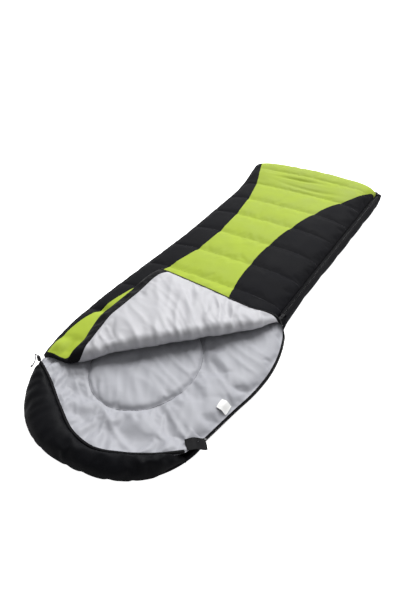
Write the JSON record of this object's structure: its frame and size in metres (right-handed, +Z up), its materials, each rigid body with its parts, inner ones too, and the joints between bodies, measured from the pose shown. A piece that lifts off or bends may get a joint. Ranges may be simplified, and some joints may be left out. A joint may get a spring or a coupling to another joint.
{
  "type": "sleeping bag",
  "caption": "Padded rectangular sleeping bag with a rounded hood, lying flat, side zip part open and the top quilt's corner folded back over itself.",
  "frame": {"origin": "on the floor under the bag, on the centre line of its body, half way along the whole bag with its hood", "axes": "+X towards the zip side, +Y along the bag towards the foot, +Z up; the zip side is on the right seen from the head"},
  "size_m": [0.8137, 2.2143, 0.1255],
  "materials": {
    "shell_black": "satin",
    "shell_green": "satin",
    "lining_grey": "satin",
    "filling": "matte",
    "binding": "matte",
    "zip_tape": "matte",
    "zip_coil": "satin",
    "slider_metal": "gloss",
    "pull_grip": "satin",
    "cord": "matte",
    "cord_lock": "satin",
    "spring": "satin",
    "label": "matte"
  },
  "bodies": {
    "bag": {"bottom_shell": "shell_black", "bottom_filling": "filling", "bottom_lining": "lining_grey", "top_panel_left": "shell_black", "top_panel_centre": "shell_green", "top_panel_right": "shell_black", "top_filling": "filling", "top_lining": "lining_grey", "head_band_left": "binding", "zip_tape_top": "zip_tape", "zip_tape_bottom": "zip_tape", "zip_tape_open": "zip_tape", "zip_tape_foot_top": "zip_tape", "zip_tape_foot_bottom": "zip_tape", "zip_coil_top": "zip_coil", "zip_coil_bottom": "zip_coil", "zip_coil_open": "zip_coil", "zip_coil_foot_top": "zip_coil", "zip_coil_foot_bottom": "zip_coil", "zip_stop_open": "zip_coil", "zip_end_box": "zip_coil"},
    "flap": {"flap_panel_centre": "shell_green", "flap_panel_right": "shell_black", "flap_filling": "filling", "flap_lining": "lining_grey", "flap_head_band": "binding", "flap_zip_tape": "zip_tape", "flap_zip_coil": "zip_coil", "flap_zip_stop": "zip_coil", "closure_loop_patch": "binding"},
    "hood": {"hood_shell": "shell_black", "hood_filling": "filling", "hood_lining": "lining_grey", "hood_cuff_filling": "filling", "hood_cuff_shell": "shell_black", "hood_drawcord_channel": "binding", "hood_drawcord": "cord", "drawcord_tail": "cord", "drawcord_knot": "cord"},
    "slider": {"zip_slider": "slider_metal"},
    "pull": {"zip_pull_link": "slider_metal", "zip_pull_grip": "pull_grip"},
    "tab": {"closure_tab": "binding", "closure_hook_patch": "binding"},
    "label": {"care_label": "label"},
    "cord_lock": {"cord_lock_body": "cord_lock", "cord_lock_spring": "spring"},
    "lock_button": {"cord_lock_button": "cord_lock"}
  },
  "joints": [
    {"name": "flap_fold", "type": "hinge", "parent": "bag", "child": "flap", "pos_m": [0, -0.543, 0.0958], "axis": [0.7071, 0.7071, 0], "range_deg": [0, 180]},
    {"name": "hood_lift", "type": "hinge", "parent": "bag", "child": "hood", "pos_m": [0, -0.795, 0.0278], "axis": [-1, 0, 0], "range_deg": [0, 35]},
    {"name": "slider_travel", "type": "slide", "parent": "bag", "child": "slider", "axis": [0.0365, 0.9993, 0], "range_m": [0, 1.18]},
    {"name": "pull_swing", "type": "hinge", "parent": "slider", "child": "pull", "pos_m": [0.33989, -0.148, 0.0558], "axis": [-0.9993, 0.0365, 0], "range_deg": [0, 180]},
    {"name": "tab_turn", "type": "hinge", "parent": "hood", "child": "tab", "pos_m": [0.376, -0.814, 0.0308], "axis": [-0.7181, 0.6959, 0], "range_deg": [0, 110]},
    {"name": "label_turn", "type": "hinge", "parent": "bag", "child": "label", "pos_m": [0.373, -0.659, 0.0292], "axis": [0, 1, 0], "range_deg": [0, 75]},
    {"name": "lock_slide", "type": "slide", "parent": "hood", "child": "cord_lock", "axis": [-0.9144, 0.4047, 0], "range_m": [-0.009, 0.009]},
    {"name": "button_press", "type": "slide", "parent": "cord_lock", "child": "lock_button", "axis": [0, 0, -1], "range_m": [0, 0.0034], "stiffness_N_per_m": 250, "springref_m": -0.002, "deforming": ["cord_lock_spring"]}
  ]
}
